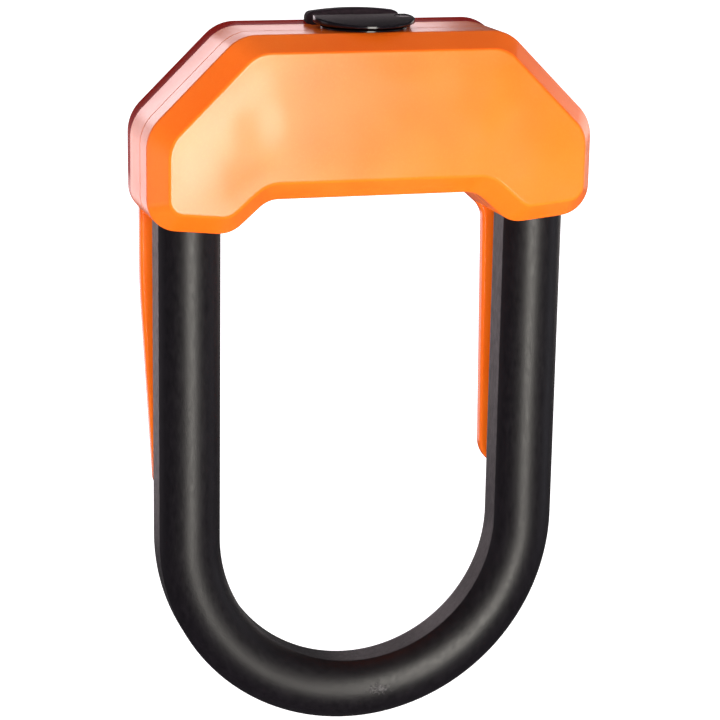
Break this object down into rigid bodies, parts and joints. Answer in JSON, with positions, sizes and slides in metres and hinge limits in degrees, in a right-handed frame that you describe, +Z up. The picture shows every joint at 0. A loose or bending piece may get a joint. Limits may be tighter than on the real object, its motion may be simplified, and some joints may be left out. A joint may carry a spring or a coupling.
{
  "type": "u lock",
  "caption": "U lock with a nylon-cased crossbar, a sleeved shackle held by two key-driven bolts, a swinging keyway cover and carry prongs behind the legs.",
  "frame": {"origin": "midway between the shackle's legs, in the shackle's plane, at the level of the case's underside, where the top of the lockable opening begins", "axes": "+X runs along the crossbar to the right as the front face is looked at; -Y points out of the front face; +Z points up, out of the keyway"},
  "size_m": [0.1308, 0.038, 0.2123],
  "materials": {
    "orange_nylon": "fine satin",
    "hardened_steel": "dull zinc plated",
    "bright_steel": "ground",
    "cylinder_brass": "machined",
    "natural_nylon": "moulded",
    "seal_rubber": "matte",
    "cap_plastic": "semi gloss",
    "sleeve_rubber": "satin soft coating"
  },
  "bodies": {
    "lock_body": {"front_cover": "orange_nylon", "rear_cover": "orange_nylon", "crossbar": "hardened_steel", "base_plate": "hardened_steel", "plate_screws": "hardened_steel", "leg_bush_left": "natural_nylon", "leg_bush_right": "natural_nylon", "leg_seal_left": "seal_rubber", "leg_seal_right": "seal_rubber", "lock_cylinder": "cylinder_brass", "cylinder_pins": "bright_steel", "keyhole_bezel": "cap_plastic", "dust_cover_rivet": "bright_steel", "dust_cover_washer": "bright_steel", "cover_screws": "hardened_steel", "screw_inserts": "cylinder_brass"},
    "shackle": {"shackle_bar": "hardened_steel", "shackle_sleeve": "sleeve_rubber"},
    "key_core": {"cylinder_core": "cylinder_brass", "core_clip": "bright_steel", "drive_cam": "bright_steel", "lock_discs": "bright_steel", "disc_spacers": "natural_nylon", "drill_plate": "bright_steel", "sidebar": "bright_steel"},
    "left_bolt": {"bolt_left": "bright_steel"},
    "right_bolt": {"bolt_right": "bright_steel"},
    "keyway_cover": {"dust_cover": "cap_plastic"}
  },
  "joints": [
    {"name": "shackle_slide", "type": "slide", "parent": "lock_body", "child": "shackle", "axis": [0, 0, -1], "range_m": [0, 0.05]},
    {"name": "key_turn", "type": "hinge", "parent": "lock_body", "child": "key_core", "pos_m": [0, 0, 0.038], "axis": [0, 0, -1], "range_deg": [0, 90]},
    {"name": "bolt_slide_right", "type": "slide", "parent": "lock_body", "child": "right_bolt", "axis": [1, 0, 0], "range_m": [0, 0.0066]},
    {"name": "bolt_slide_left", "type": "slide", "parent": "lock_body", "child": "left_bolt", "axis": [-1, 0, 0], "range_m": [0, 0.0066]},
    {"name": "cover_swing", "type": "hinge", "parent": "lock_body", "child": "keyway_cover", "pos_m": [0.0115, 0, 0.0555], "axis": [0, 0, 1], "range_deg": [0, 140]}
  ],
  "couplings": [
    {"joint": "bolt_slide_right", "follows": "key_turn", "m_per_rad": 0.004138},
    {"joint": "bolt_slide_left", "follows": "key_turn", "m_per_rad": 0.004138}
  ]
}
